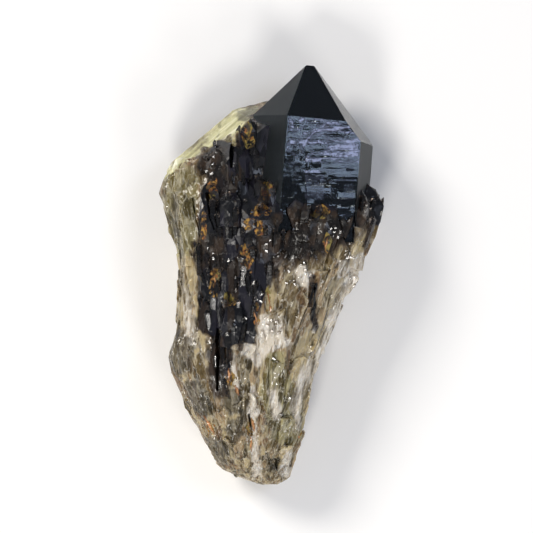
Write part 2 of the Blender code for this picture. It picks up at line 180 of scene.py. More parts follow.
# What the quartz is like, as outlines seen from the front
SMOKY = (
    ((-5.0, 46.5), (-9.5, 42.0), (-10.5, 37.5), (-13.5, 38.0), (-16.0, 38.4), (-20.0, 35.5),
     (-21.8, 31.0), (-18.8, 27.0), (-20.6, 23.5), (-20.8, 10.0), (-22.8, 9.5), (-22.4, 4.0),
     (-21.2, -3.0), (-21.2, -15.5), (-18.6, -16.8), (-18.4, -22.0), (-17.6, -31.0), (-14.4, -34.4),
     (-11.8, -28.0), (-12.6, -22.0), (-12.2, -20.0), (-8.0, -19.2), (-5.0, -18.8), (-4.8, -13.0),
     (-3.0, -8.0), (-0.8, -3.0), (0.5, 0.5), (3.0, 3.0), (6.0, 3.5), (9.0, 5.0), (12.0, 4.5), (14.0, 6.0),
     (16.0, 6.0), (18.5, 9.0), (21.0, 9.0), (24.0, 13.0), (27.0, 14.0), (30.5, 14.5), (33.5, 20.0),
     (32.5, 24.0), (28.5, 26.0), (25.0, 25.0), (20.0, 30.0), (4.0, 30.0), (2.0, 47.0), (-3.5, 47.5)),
    ((10.9, -2.0), (12.4, -2.0), (12.2, -16.0), (11.0, -16.0)),
)
MILKY = (
    ((-4.8, -13.0), (-2.5, -10.0), (0.0, -10.5), (3.0, -11.0), (3.5, -15.0), (5.0, -19.0), (1.0, -21.0),
     (-1.5, -21.5), (-4.0, -26.0), (-6.5, -24.0), (-9.0, -23.0), (-11.0, -19.8), (-8.0, -19.0),
     (-5.0, -18.8)),
    ((6.0, 2.0), (9.0, 2.6), (12.0, 1.6), (11.4, -1.5), (9.5, -3.6), (7.0, -3.4)),
    ((26.0, 6.0), (23.0, 6.0), (21.0, 0.0), (18.0, -6.0), (15.5, -12.0), (13.0, -20.0), (11.5, -28.0),
     (13.5, -27.0), (17.5, -15.0), (21.5, -6.0), (25.0, 1.0)),
    ((-6.8, -31.0), (-4.8, -31.0), (-4.6, -42.0), (-3.0, -58.0), (-5.8, -58.0), (-6.0, -44.0), (-7.4, -40.0)),
    ((1.5, -57.0), (3.5, -49.0), (5.5, -50.0), (5.5, -58.0)),
    ((-13.0, -20.5), (-11.4, -20.5), (-8.8, -32.5), (-10.2, -33.5)),
    ((5.0, -35.0), (8.0, -27.0), (10.5, -22.0), (11.5, -26.0), (8.5, -35.0), (7.5, -44.0), (5.8, -43.0)),
    ((18.0, 4.0), (21.5, 5.0), (22.5, 1.0), (19.0, 0.0)),
    ((-1.5, -32.0), (1.5, -32.0), (2.5, -40.0), (0.0, -41.0)),
    ((-24.5, -4.0), (-22.6, -8.0), (-21.5, -15.0), (-22.0, -20.0), (-24.0, -19.0), (-25.2, -12.0)),
)
CREAMY = (
    ((-4.0, 49.5), (-5.0, 46.0), (-10.0, 41.0), (-14.0, 39.0), (-20.0, 36.0), (-25.0, 32.0), (-27.0, 30.0),
     (-31.0, 28.0), (-34.0, 34.0), (-10.0, 53.0)),
)
OLIVE = (
    ((-1.0, -21.0), (3.0, -22.0), (6.0, -30.0), (9.0, -36.0), (8.5, -47.0), (4.0, -49.0), (0.0, -46.0),
     (-4.0, -33.0)),
    ((-31.5, 29.0), (-21.0, 32.0), (-21.0, 12.0), (-24.0, 6.0), (-28.5, 5.0), (-31.0, 20.0)),
    ((-10.5, 41.0), (-14.0, 39.0), (-12.0, 32.0), (-9.5, 34.0)),
)
# Darker, dusky patches of the columns; the one over the hollow near (1, -53) is painted shade
DUSKY_AND_SHADED = (
    ((-11.0, 45.6), (-5.5, 50.0), (-3.4, 49.0), (-4.6, 46.2), (-8.0, 43.6)),
    ((-26.0, -30.0), (-21.0, -29.0), (-17.0, -36.0), (-19.0, -42.0), (-22.5, -38.0)),
    ((-15.5, -33.0), (-9.5, -32.0), (-8.5, -38.0), (-13.0, -40.0)),
    ((-29.5, -16.0), (-25.0, -15.0), (-22.5, -19.0), (-22.5, -27.0), (-27.5, -29.0), (-31.0, -24.0)),
    ((-20.5, -46.0), (-16.0, -45.0), (-13.0, -49.0), (-14.0, -56.0), (-18.5, -54.0)),
    ((-13.0, -40.0), (-9.0, -40.0), (-7.5, -46.0), (-11.0, -47.0), (-14.0, -44.0)),
    ((-0.8, -52.2), (3.2, -51.2), (2.2, -54.0), (0.5, -56.5)),
    ((-29.0, 24.0), (-26.8, 24.0), (-26.0, 10.0), (-28.5, 10.0)),
)
BROWN = (
    ((-22.0, 36.0), (-13.0, 36.0), (-12.5, 27.0), (-21.0, 27.0)),
    ((-21.0, 12.0), (-13.5, 12.0), (-13.5, 2.0), (-22.0, 2.0)),
    ((-4.5, 15.0), (5.0, 19.0), (28.0, 18.0), (28.0, 6.0), (13.0, 2.0), (0.0, 0.0), (-5.0, 6.0)),
    ((-19.0, -17.5), (-14.0, -17.5), (-12.6, -34.5), (-18.4, -34.5)),
)
# Iron stains: x and y of the middle, half width and half height
IRON = (
    (-7.0, 40.0, 2.0, 4.4), (-1.6, 24.0, 1.6, 3.8), (-3.4, 18.5, 3.0, 1.9), (-6.5, 14.8, 1.8, 2.2),
    (-3.6, 13.5, 1.8, 2.2), (-7.2, 5.5, 2.4, 4.6), (-16.6, -1.0, 1.4, 4.6), (-12.5, -6.5, 2.2, 1.8),
    (-17.0, 25.0, 1.6, 3.2), (-19.4, 15.0, 1.0, 5.0), (13.6, 18.0, 2.6, 2.0), (-1.2, -6.5, 1.0, 4.2),
    (-4.6, -11.0, 1.0, 3.8), (-11.6, -29.5, 2.0, 2.2), (-17.6, -43.5, 1.2, 2.4), (-6.4, -43.0, 1.2, 3.2),
    (15.2, 9.0, 1.2, 3.0), (8.3, -44.5, 0.8, 1.0),
)

# Thin cracks stained bright by iron: x and y of the middle, half width, half length and turn in degrees
CRACKS = (
    (-1.2, -6.2, 0.30, 2.4, 8.0), (-0.7, -9.2, 0.55, 1.5, 10.0), (-5.0, -11.4, 0.30, 3.4, 12.0),
    (-12.4, -28.0, 0.42, 2.3, 0.0), (-10.1, -32.3, 0.50, 2.1, 18.0), (-5.6, -42.2, 0.45, 2.4, 10.0),
    (-6.2, -47.4, 0.25, 3.0, 4.0), (-18.0, -42.4, 0.45, 3.7, 28.0), (7.5, -46.0, 0.40, 0.45, 0.0),
    (-16.4, -1.0, 0.35, 2.2, 6.0), (15.0, 9.0, 0.30, 2.2, -8.0),
)
CRACK_DEPTH = 40.0  # they reach down through the group
CRACK_FRAY = 1.6  # how ragged their edges are

# Flat breaks that lean another way than the column they are on: x and y of the middle, half width, half
# height and slopes along x and y. The first two look dark from the front, and the others mirror the lavender
# light.
LEANING = (
    (8.1, 12.6, 2.6, 3.4, 0.0, -0.32), (-12.6, -20.4, 0.9, 4.2, 0.45, 0.0),
    (-4.4, 29.6, 1.9, 1.6, -0.28, -0.13), (-7.4, 30.6, 1.0, 2.6, -0.28, -0.13),
    (-12.0, 22.4, 2.6, 1.6, -0.26, -0.13), (27.6, 21.4, 2.6, 1.5, -0.20, -0.12),
    (-9.4, -13.6, 2.0, 1.4, -0.26, -0.13),
)
LEANING_RIM = 0.7  # how wide their edges are

# Patches of small broken faces that glitter: x and y of the middle, half width and half height
GLITTER = (
    (0.6, -27.5, 1.8, 4.6), (4.4, -34.0, 1.8, 2.0), (2.4, -39.6, 1.2, 1.6), (21.0, 6.4, 1.8, 2.2),
    (24.0, 4.6, 1.4, 1.6), (1.6, 5.4, 1.2, 2.2), (8.6, 0.6, 2.2, 3.0), (4.6, -0.6, 2.6, 2.8),
    (-18.0, 33.0, 2.4, 3.6), (-0.4, -14.0, 3.6, 3.6), (-3.4, -6.2, 1.6, 1.4), (-17.4, 7.0, 2.0, 2.2),
    (11.0, -1.4, 1.2, 2.6), (-7.4, -13.4, 1.2, 2.0), (17.6, 12.6, 2.2, 1.8), (-1.4, 9.0, 1.6, 2.0),
    (22.4, -1.4, 1.4, 3.4), (5.4, -43.6, 1.4, 1.4),
)


def linear(hex_colour):
    """An sRGB hex colour as linear red, green, blue and 1."""
    values = [int(hex_colour[place:place + 2], 16) / 255.0 for place in (1, 3, 5)]
    return tuple(v / 12.92 if v <= 0.04045 else ((v + 0.055) / 1.055) ** 2.4 for v in values) + (1.0,)


def soft(low, high, values):
    """0 below low, 1 above high and an S curve between them, for a number or an array."""
    share = np.clip((values - low) / (high - low), 0.0, 1.0)
    return share * share * (3.0 - 2.0 * share)


def slice_off(shape, point, normal):
    """Removes what lies beyond a plane and closes the cut with one flat face."""
    whole = shape.verts[:] + shape.edges[:] + shape.faces[:]
    cut = bmesh.ops.bisect_plane(shape, geom=whole, plane_co=point, plane_no=normal, clear_outer=True)
    rim = [piece for piece in cut["geom_cut"] if isinstance(piece, bmesh.types.BMEdge)]
    if len(rim) > 2:
        bmesh.ops.contextual_create(shape, geom=rim)


def large_frame():
    """The axis of the large crystal and the normals of its front face and right side."""
    lean, tilt = math.radians(LARGE_LEAN), math.radians(LARGE_TILT)
    axis = Vector((math.sin(lean) * math.cos(tilt), math.cos(lean) * math.cos(tilt), math.sin(tilt)))
    up = Vector((0.0, 0.0, 1.0))
    front = (up - axis * up.dot(axis)).normalized()
    right = axis.cross(front)
    turn = Matrix.Rotation(math.radians(LARGE_SPIN), 3, axis)
    return axis, turn @ front, turn @ right


def faces_of(point, axis, front, right, prism, ends):
    """The faces of a crystal, each as a point on it and its outward normal.

    prism and ends hold the distance of each face from point, by the face's azimuth.
    """
    def side(azimuth):
        """The direction out of the axis at an azimuth."""
        return math.cos(math.radians(azimuth)) * front + math.sin(math.radians(azimuth)) * right

    normals = [(side(azimuth), distance) for azimuth, distance in prism.items()]
    for azimuth, distance in ends.items():
        normal = math.cos(END_FACE_ANGLE) * axis + math.sin(END_FACE_ANGLE) * side(azimuth)
        normals.append((normal, distance))
    return [(point + normal * distance, normal) for normal, distance in normals]


def quartz(point, axis, front, right, prism, ends, root):
    """A convex crystal with those faces, cut off across its axis at root."""
    shape = bmesh.new()
    bmesh.ops.create_cube(shape, size=BLOCK)
    bmesh.ops.translate(shape, verts=shape.verts, vec=point)
    slice_off(shape, point + axis * root, -axis)
    for place, normal in faces_of(point, axis, front, right, prism, ends):
        slice_off(shape, place, normal)
    return shape


def large_planes():
    """The faces of the large crystal, the front one first, each as a point and its outward normal."""
    axis, front, right = large_frame()
    centre = LARGE_AXIS_POINT + CENTRING
    return faces_of(centre, axis, front, right, LARGE_PRISM, LARGE_END) + [(centre + axis * LARGE_TIP, axis)]


def stored(name, shape):
    """An object that holds the bmesh, turned from millimetres to metres."""
    bmesh.ops.scale(shape, verts=shape.verts, vec=Vector((MM, MM, MM)))
    bmesh.ops.recalc_face_normals(shape, faces=shape.faces)
    mesh = bpy.data.meshes.new(name)
    shape.to_mesh(mesh)
    shape.free()
    obj = bpy.data.objects.new(name, mesh)
    bpy.context.scene.collection.objects.link(obj)
    return obj


def evaluated(obj):
    """The mesh of an object with its modifiers applied."""
    graph = bpy.context.evaluated_depsgraph_get()
    return bpy.data.meshes.new_from_object(obj.evaluated_get(graph))


def refine(shape, longest):
    """Halves the edges that are longer than longest(edge) until none is left."""
    for _ in range(REFINE_ROUNDS):
        edges = [e for e in shape.edges if e.calc_length() > longest(e)]
        if not edges:
            break
        bmesh.ops.subdivide_edges(shape, edges=edges, cuts=1)
        bmesh.ops.triangulate(shape, faces=[f for f in shape.faces if len(f.verts) > 3])


def places_of(mesh):
    """The vertices of a mesh as an array, in millimetres."""
    places = np.empty(len(mesh.vertices) * 3)
    mesh.vertices.foreach_get("co", places)
    return places.reshape(-1, 3) / MM


def put_back(mesh, places):
    """Moves the vertices of a mesh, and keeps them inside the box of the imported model."""
    low, high = (np.array(corner) for corner in CAD_BOX)
    mesh.vertices.foreach_set("co", np.clip(places * MM, low, high).ravel())
    mesh.update()


def to_segment(point, start, end):
    """How far a flat point is from a line segment."""
    run = end - start
    share = max(0.0, min(1.0, (point - start).dot(run) / run.length_squared))
    return (point - (start + run * share)).length


def plate_list():
    """Etched plates and pits of the front face: middle, half sizes, rise and slopes of each."""
    plates = list(CLEAR_PLATES)
    for _ in range(OTHER_PLATES):
        x, y = random.uniform(*PLATE_X), random.uniform(*PLATE_Y)
        wide, tall = random.uniform(*PLATE_HALF_WIDTH), random.uniform(*PLATE_HALF_HEIGHT)
        rise = random.choice((-1.0, 1.0)) * random.uniform(*PLATE_RISE)
        slope_x, slope_y = random.uniform(*PLATE_SLOPE_X), random.uniform(*PLATE_SLOPE_Y)
        plates.append((x, y, wide, tall, rise, slope_x, slope_y))
    return plates


def waves(x, y, wide, tall, layer, shift=0.0):
    """Soft noise between about -1 and 1 over the front face, in waves of that width and height."""
    return noise.noise(Vector((x / wide, y / tall + shift, layer)))


def ridge_share(x, y):
    """1 on the curved ridges of the front face and 0 away from them."""
    place = Vector((x, y))
    runs = [(Vector(a), Vector(b)) for ridge in FACE_RIDGES for a, b in zip(ridge, ridge[1:])]
    return math.exp(-(min(to_segment(place, a, b) for a, b in runs) / RIDGE_HALF_WIDTH) ** 2)


def face_relief(x, y, plates):
    """Height of the front face's growth relief: growth bands on its right, dimples on its left."""
    strength = 0.35 + 0.65 * soft(-0.35, 0.35, waves(x, y, 6.0, 4.0, 1.7))
    strength *= 0.35 + 0.65 * soft(FACE_DIM_BELOW, FACE_DIM_BELOW + 4.0, y)
    banded = soft(7.0, 12.0, x)
    bands = 0.06 * waves(x, y, 16.0, 1.2, 8.3)
    bands += 0.022 * waves(x, y, 9.0, 0.5, 2.9)
    dimples = 0.05 * waves(x, y, 1.9, 1.4, 5.3)
    dimples += 0.018 * waves(x, y, 0.9, 0.8, 1.9)
    height = strength * (banded * bands + (1.0 - banded) * dimples)
    height -= 0.06 * max(0.0, FACE_DIM_BELOW - y)
    for px, py, wide, tall, rise, slope_x, slope_y in plates:
        dx, dy = x - px, y - py
        if abs(dx) < wide and abs(dy) < tall:
            rim = soft(0.0, 0.35, min(wide - abs(dx), tall - abs(dy)))
            height += rim * (rise + slope_x * dx + slope_y * dy)
    height += RIDGE_RISE * ridge_share(x, y)
    if y < FACE_STEP_TOP:
        edge = FACE_STEP_X + 0.4 * waves(0.0, y, 1.0, 4.0, 5.0)
        height += FACE_STEP_RISE * soft(edge, edge + 0.2, x) * (1.0 - soft(edge + 1.0, edge + 9.0, x))
        height -= 0.05 * max(0.0, edge - x)
    return float(height)


def face_etch_and_painted_sheen(x, y):
    """How much etching and painted reflection of the lavender light the front face gets: bands on its right,
    blotches on its left, little low down.
    """
    warp = waves(x, y, 3.0, 3.0, 6.1)
    bands = 0.5 + 0.75 * waves(x, y, 8.0, 0.85, 3.3, 0.6 * warp)
    bands += 0.5 * waves(x, y, 3.0, 0.4, 7.7)
    blotches = 0.45 + 0.9 * waves(x, y, 1.5, 1.2, 4.2)
    blotches += 0.5 * waves(x, y, 0.6, 0.6, 9.2)
    banded = soft(8.0, 13.0, x + 2.0 * warp)
    level = 0.05 + 0.42 * soft(27.0, 34.0, y + warp) * (0.55 + 0.45 * banded)
    below_step = 1.0 - soft(FACE_STEP_TOP - 1.5, FACE_STEP_TOP + 1.5, y)
    left_of_step = 1.0 - soft(8.8, 9.4, x)
    level *= 1.0 - 0.7 * below_step * left_of_step
    etch_and_painted_sheen = level * max(0.0, banded * bands + (1.0 - banded) * blotches) ** 2.2 * 2.2
    for mx, my, wide, tall, added in FACE_ETCH_AND_SHEEN_MARKS:
        dx, dy = abs(x - mx), abs(y - my)
        if dx < wide and dy < tall:
            ragged = 0.7 + 0.6 * waves(x, y, 1.2, 0.7, 1.1)
            etch_and_painted_sheen += added * ragged * soft(0.0, 0.25, min(wide - dx, (tall - dy) * 2.0))
    return float(min(1.0, max(0.0, etch_and_painted_sheen + 0.5 * ridge_share(x, y))))


def cut_in_strips(shape, faces, origin, step, first, last):
    """Cuts flat faces into strips by parallel planes, each plane cutting only what is left beyond it."""
    direction = step.normalized()
    left, done = list(faces), []
    for number in range(first, last):
        point = origin + step * number
        edges = dict.fromkeys(edge for f in left for edge in f.edges)  # in an order that is the same each run
        verts = dict.fromkeys(vert for f in left for vert in f.verts)
        geom = left + list(edges) + list(verts)
        cut = bmesh.ops.bisect_plane(shape, geom=geom, plane_co=point, plane_no=direction)
        made = [piece for piece in cut["geom"] if isinstance(piece, bmesh.types.BMFace)]
        left = [f for f in made if (f.calc_center_median() - point).dot(direction) > 0.0]
        done += [f for f in made if (f.calc_center_median() - point).dot(direction) <= 0.0]
    return done + left


def on_plane(face, plane):
    """Whether a face lies on a plane and looks the same way as its normal."""
    point, normal = plane
    away = (face.calc_center_median() - point).dot(normal)
    return face.normal.dot(normal) > SAME_WAY and abs(away) < ON_PLANE


def etch_front_face(shape, plane):
    """Cuts the front face of the large crystal into fine rows, gives it its growth relief and stores its
    etching and painted sheen.
    """
    etch_and_painted_sheen = shape.verts.layers.float.new("etch_and_painted_sheen")
    axis, front, right = large_frame()
    face = [f for f in shape.faces if f.material_index == GROWTH_FACES and on_plane(f, plane)]
    top = LARGE_AXIS_POINT + CENTRING + front * LARGE_PRISM[0]
    rows = (int(FACE_LOW / FACE_ROW), int(FACE_HIGH / FACE_ROW))
    strips = cut_in_strips(shape, face, top, axis * FACE_ROW, *rows)
    columns = int(FACE_HALF_WIDTH / FACE_COLUMN)
    cells = set(cut_in_strips(shape, strips, top, right * FACE_COLUMN, -columns, columns))
    inner = [v for v in {v for f in cells for v in f.verts} if all(f in cells for f in v.link_faces)]
    plates = plate_list()
    for vert in inner:
        x, y = vert.co.x - CENTRING.x, vert.co.y - CENTRING.y
        # etching together with painted reflection of the lavender light, which the material shows as pale
        # lavender
        vert[etch_and_painted_sheen] = face_etch_and_painted_sheen(x, y)
        vert.co += front * face_relief(x, y, plates)


def group_shape():
    """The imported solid, refined away from the large crystal, as a bmesh in millimetres."""
    shape = bmesh.new()
    shape.from_mesh(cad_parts[NODE].data)
    bmesh.ops.remove_doubles(shape, verts=shape.verts, dist=1e-6)
    bmesh.ops.scale(shape, verts=shape.verts, vec=Vector.Fill(3, 1.0 / MM))
    shape.normal_update()
    planes = large_planes()
    for face in shape.faces:
        found = [number for number, plane in enumerate(planes) if on_plane(face, plane)]
        face.material_index = COLUMNS
        if found:
            face.material_index = SATIN_FACES if found[0] in SATIN_PLANES else GROWTH_FACES
    etch_front_face(shape, planes[0])
    bmesh.ops.triangulate(shape, faces=[f for f in shape.faces if len(f.verts) > 3])

    def longest(edge):
        """How long an edge may stay."""
        if all(face.material_index != COLUMNS for face in edge.link_faces):
            return LARGE_EDGE
        return FRONT_EDGE if edge.verts[0].co.z > FRONT_ABOVE else BACK_EDGE

    refine(shape, longest)
    return shape


def fan(places):
    """Coordinates that follow the columns: across the fan, along it, and up, in millimetres."""
    run = places - np.array(FAN_FOCUS)
    return np.stack([np.arctan2(run[:, 0], run[:, 1]) * FAN_REACH, np.hypot(run[:, 0], run[:, 1]),
                     run[:, 2] * FAN_REACH / run[:, 1]], axis=1)


def skin_relief(place, calm):
    """How far the skin stands out at a place of the fan: chips and fine fibres, little on calm places."""
    across, along, up = place
    cell = Vector((across / CHIP_WIDE, along / CHIP_LONG, up / CHIP_WIDE))
    corner = noise.voronoi(cell)[1][0]
    lean = noise.cell_vector(corner * CHIP_DRAW)
    inner = cell - corner
    chip = 1.6 * (lean.x - 0.5) * inner.x + 1.1 * (lean.y - 0.5) * inner.y + 1.6 * (lean.z - 0.5) * inner.z
    swell = noise.noise(Vector((across / CHIP_WIDE, along / SWELL_LONG, up / CHIP_WIDE)))
    fibre = noise.noise(Vector((across / FIBRE_WIDE, along / FIBRE_LONG, up / FIBRE_WIDE)))
    rough = 1.0 - CALMED * calm
    return rough * (CHIP_RISE * chip + SWELL_RISE * swell) + FIBRE_RISE * (1.0 - calm) * fibre


def leaning(flat):
    """How much the leaning breaks raise the skin at flat points."""
    raised = np.zeros(len(flat))
    for x, y, wide, tall, slope_x, slope_y in LEANING:
        away = flat - np.array((x, y))
        rim = np.minimum(wide - np.abs(away[:, 0]), tall - np.abs(away[:, 1]))
        raised += soft(0.0, LEANING_RIM, rim) * (slope_x * away[:, 0] + slope_y * away[:, 1])
    return raised


def inside(points, outline):
    """How far flat points are inside an outline; outside is negative."""
    corners = np.array(outline)
    nearest = np.full(len(points), 1e9)
    crossed = np.zeros(len(points), dtype=bool)
    for start, end in zip(corners, np.roll(corners, -1, axis=0)):
        run = end - start
        share = np.clip(((points - start) @ run) / (run @ run), 0.0, 1.0)
        away = points - (start + share[:, None] * run)
        nearest = np.minimum(nearest, np.hypot(away[:, 0], away[:, 1]))
        spans = (start[1] > points[:, 1]) != (end[1] > points[:, 1])
        reach = start[0] + (points[:, 1] - start[1]) * run[0] / (run[1] if run[1] else 1.0)
        crossed ^= spans & (points[:, 0] < reach)
    return np.where(crossed, nearest, -nearest)


def zone_of(points, outlines, edge):
    """1 inside any of the outlines and 0 outside, with an edge of that width."""
    return soft(-edge, edge, np.max([inside(points, outline) for outline in outlines], axis=0))


def field(places, size, offset=0.0):
    """Soft noise between about -1 and 1, with waves of the given size."""
    shift = Vector((offset, offset * 1.7, offset * 0.3))
    return np.array([noise.noise(Vector(place) / size + shift) for place in places])


def spots(flat, listed):
    """1 near the middles of the listed patches and 0 away from them, at flat points."""
    share = np.zeros(len(flat))
    for x, y, wide, tall in listed:
        away = np.hypot((flat[:, 0] - x) / wide, (flat[:, 1] - y) / tall)
        share = np.maximum(share, 1.0 - soft(0.6, 1.2, away))
    return share


def zones_at(places):
    """What the quartz is like at places: smoky, milky, creamy and stained, then olive, dusky with painted
    shade over a hollow, and brown.
    """
    flat = places[:, :2].copy()
    flat[:, 0] += 0.9 * field(places, 2.6)
    flat[:, 1] += 1.6 * field(places, 3.2, 9.0)
    shown = soft(*ZONE_FADE, places[:, 2])
    hidden = 1.0 - shown
    back = 0.5 + 0.5 * field(places, 11.0, 4.0)
    browned = zone_of(flat, BROWN, 2.0)
    smoke = shown * zone_of(flat, SMOKY, 0.8 + 3.2 * browned)
    smoke += hidden * soft(0.42, 0.72, back + 0.005 * places[:, 1])
    milk = shown * zone_of(flat, MILKY, 1.2) + hidden * soft(0.5, 0.8, 1.0 - back)
    cream = shown * zone_of(flat, CREAMY, 0.8)
    iron = shown * spots(flat, IRON) + hidden * 0.5 * soft(0.6, 0.8, back)
    tones = [shown * zone_of(flat, OLIVE, 1.2), shown * zone_of(flat, DUSKY_AND_SHADED, 1.2), shown * browned]
    return np.stack([smoke, milk, cream, iron], axis=1), np.stack(tones, axis=1)


def painted(obj, places, zones, tones):
    """Stores the zones on a mesh for its material, with the coordinates that follow the columns."""
    attributes = obj.data.attributes
    attributes.new("zone", "FLOAT_COLOR", "POINT").data.foreach_set("color", zones.ravel())
    attributes.new("tone", "FLOAT_VECTOR", "POINT").data.foreach_set("vector", tones.ravel())
    attributes.new("fan", "FLOAT_VECTOR", "POINT").data.foreach_set("vector", fan(places).ravel())


def crystal_group():
    """The intergrown crystals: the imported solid's skin with chips, fibres and the zones of its quartz."""
    obj = stored("crystal_group", group_shape())
    mesh = obj.data
    places = places_of(mesh)
    free = np.ones(len(places))
    for face in mesh.polygons:
        if face.material_index != COLUMNS:
            free[list(face.vertices)] = 0.0
    normals = np.empty(len(places) * 3)
    mesh.vertices.foreach_get("normal", normals)
    zones, tones = zones_at(places - np.array(CENTRING))
    calm = np.maximum(zones[:, 0], zones[:, 2])
    heights = [skin_relief(place, share) for place, share in zip(fan(places), calm)]
    painted(obj, places, zones, tones)
    front = free * soft(*FRONT_FADE, places[:, 2])
    flat = places[:, :2] - np.array(CENTRING)[:2]
    grown = zones[:, 0] * (1.0 - 0.8 * tones[:, 2])  # few small crystals on the brown, glassy ones
    for name, share in (("smoky_share", grown), ("glitter_share", spots(flat, GLITTER))):
        mesh.attributes.new(name, "FLOAT", "POINT").data.foreach_set("value", share * front)
    normals = normals.reshape(-1, 3)
    places = places + normals * (free * heights)[:, None]
    places[:, 2] += front * leaning(flat)
    put_back(mesh, places)
    return obj


# Settings of nodes. A Map Range node takes its value, from where to where that runs, and what those become.
RANGE = {"interpolation_type": "SMOOTHSTEP"}
BLEND = {"data_type": "RGBA"}
ADD = {"operation": "ADD"}
SUBTRACT = {"operation": "SUBTRACT"}
MULTIPLY = {"operation": "MULTIPLY"}
SCALE = {"operation": "SCALE"}
DOT = {"operation": "DOT_PRODUCT"}
LARGER = {"operation": "MAXIMUM"}
MIDDLE = (0.5, 0.5, 0.5)  # of the colours that a noise or cell texture gives


def node(tree, kind, settings=None, *placed, **named):
    """Adds a node, sets its properties, and fills its open inputs in their order and by name."""
    made = tree.nodes.new(kind)
    for name, value in (settings or {}).items():
        setattr(made, name, value)
    inputs = [socket for socket in made.inputs if socket.enabled]
    filled = list(zip(inputs, placed))
    for name, value in named.items():
        filled.append((next(socket for socket in inputs if socket.name == name.replace("_", " ")), value))
    for socket, value in filled:
        if isinstance(value, bpy.types.Node):
            value = next(output for output in value.outputs if output.enabled)
        if isinstance(value, bpy.types.NodeSocket):
            tree.links.new(value, socket)
        else:
            socket.default_value = value
    return made


def scatter_tree():
    """Geometry Nodes that grow crystals out of a skin, along the fan and leaning out of it."""
    tree = bpy.data.node_groups.new("crystals_on_skin", "GeometryNodeTree")
    for name, kind in (
            ("Skin", "Geometry"), ("Crystal", "Object"), ("Finish", "Material"), ("Zone", "String"),
            ("Spacing", "Float"), ("Per Square Metre", "Float"), ("Smallest", "Float"), ("Largest", "Float"),
            ("Lean Out", "Float"), ("Stray", "Float"), ("Seed", "Int"), ("Front", "Vector"),
            ("Front First", "Bool")):
        tree.interface.new_socket(name, in_out="INPUT", socket_type="NodeSocket" + kind)
    tree.interface.new_socket("Crystals", in_out="OUTPUT", socket_type="NodeSocketGeometry")
    given = tree.nodes.new("NodeGroupInput").outputs
    share = node(tree, "GeometryNodeInputNamedAttribute", {"data_type": "FLOAT"}, Name=given["Zone"])
    points = node(tree, "GeometryNodeDistributePointsOnFaces", {"distribute_method": "POISSON"},
                  Mesh=given["Skin"], Distance_Min=given["Spacing"], Density_Max=given["Per Square Metre"],
                  Density_Factor=share, Seed=given["Seed"])
    place = tree.nodes.new("GeometryNodeInputPosition")
    run = node(tree, "ShaderNodeVectorMath", SUBTRACT, place, tuple((FAN_FOCUS + CENTRING) * MM))
    run = node(tree, "ShaderNodeVectorMath", {"operation": "NORMALIZE"}, run)
    outward = node(tree, "ShaderNodeVectorMath", SCALE, points.outputs["Normal"], Scale=given["Lean Out"])
    stray = node(tree, "FunctionNodeRandomValue", {"data_type": "FLOAT_VECTOR"}, (-1.0, -1.0, -1.0),
                 (1.0, 1.0, 1.0), Seed=given["Seed"])
    stray = node(tree, "ShaderNodeVectorMath", SCALE, stray, Scale=given["Stray"])
    axis = node(tree, "ShaderNodeVectorMath", ADD, run, outward)
    axis = node(tree, "ShaderNodeVectorMath", ADD, axis, stray)
    front = node(tree, "ShaderNodeVectorMath", ADD, points.outputs["Normal"], stray)
    front = node(tree, "ShaderNodeVectorMath", ADD, front, given["Front"])
    upright = node(tree, "FunctionNodeAlignRotationToVector", {"axis": "Y"}, Vector=axis)
    upright = node(tree, "FunctionNodeAlignRotationToVector", {"axis": "Z", "pivot_axis": "Y"},
                   Rotation=upright, Vector=front)
    faced = node(tree, "FunctionNodeAlignRotationToVector", {"axis": "Z"}, Vector=front)
    faced = node(tree, "FunctionNodeAlignRotationToVector", {"axis": "Y", "pivot_axis": "Z"},
                 Rotation=faced, Vector=axis)
    turned = node(tree, "GeometryNodeSwitch", {"input_type": "ROTATION"}, given["Front First"], upright,
                  faced)
    size = node(tree, "FunctionNodeRandomValue", {"data_type": "FLOAT"}, given["Smallest"], given["Largest"],
                Seed=given["Seed"])
    crystal = node(tree, "GeometryNodeObjectInfo", None, Object=given["Crystal"])
    grown = node(tree, "GeometryNodeInstanceOnPoints", None, Points=points,
                 Instance=crystal.outputs["Geometry"], Rotation=turned, Scale=size)
    whole = node(tree, "GeometryNodeRealizeInstances", None, grown)
    coated = node(tree, "GeometryNodeSetMaterial", None, whole, Material=given["Finish"])
    node(tree, "NodeGroupOutput", None, coated)
    return tree


def scattered(name, tree, host, **inputs):
    """A piece of crystals grown out of the host's skin, as a plain mesh."""
    holder = bpy.data.objects.new(name + "_holder", host.data.copy())
    bpy.context.scene.collection.objects.link(holder)
    modifier = holder.modifiers.new(name, "NODES")
    modifier.node_group = tree
    for item in tree.interface.items_tree:
        if item.in_out == "INPUT" and item.name.replace(" ", "_") in inputs:
            modifier[item.identifier] = inputs[item.name.replace(" ", "_")]
    mesh = evaluated(holder)
    bpy.data.objects.remove(holder)
    obj = bpy.data.objects.new(name, mesh)
    bpy.context.scene.collection.objects.link(obj)
    return obj


def small_point(name, tip, root):
    """A slender crystal 1 mm wide with its axis along Y and its front up, from -root to tip."""
    across = {0: 0.42, 60: 0.5, 120: 0.46, 180: 0.5, -120: 0.44, -60: 0.47}
    ends = {0: 0.22, 60: 0.30, 120: 0.36, 180: 0.30, -120: 0.32, -60: 0.26}
    axes = (Vector((0.0, 1.0, 0.0)), Vector((0.0, 0.0, 1.0)), Vector((1.0, 0.0, 0.0)))
    shape = quartz(Vector((0.0, tip, 0.0)), *axes, across, ends, -tip - root)
    bmesh.ops.triangulate(shape, faces=shape.faces)
    return stored(name, shape)


def new_material(name):
    """An empty node material and its tree."""
    material = bpy.data.materials.new(name)
    material.use_nodes = True
    material.node_tree.nodes.clear()
    return material, material.node_tree


def per_mm(*sizes):
    """Mapping scales for a pattern on coordinates in millimetres, one unit of which is each of the sizes."""
    return tuple(1.0 / size for size in sizes)


def per_metre(*sizes):
    """The same for coordinates in metres."""
    return tuple(1.0 / (size * MM) for size in sizes)


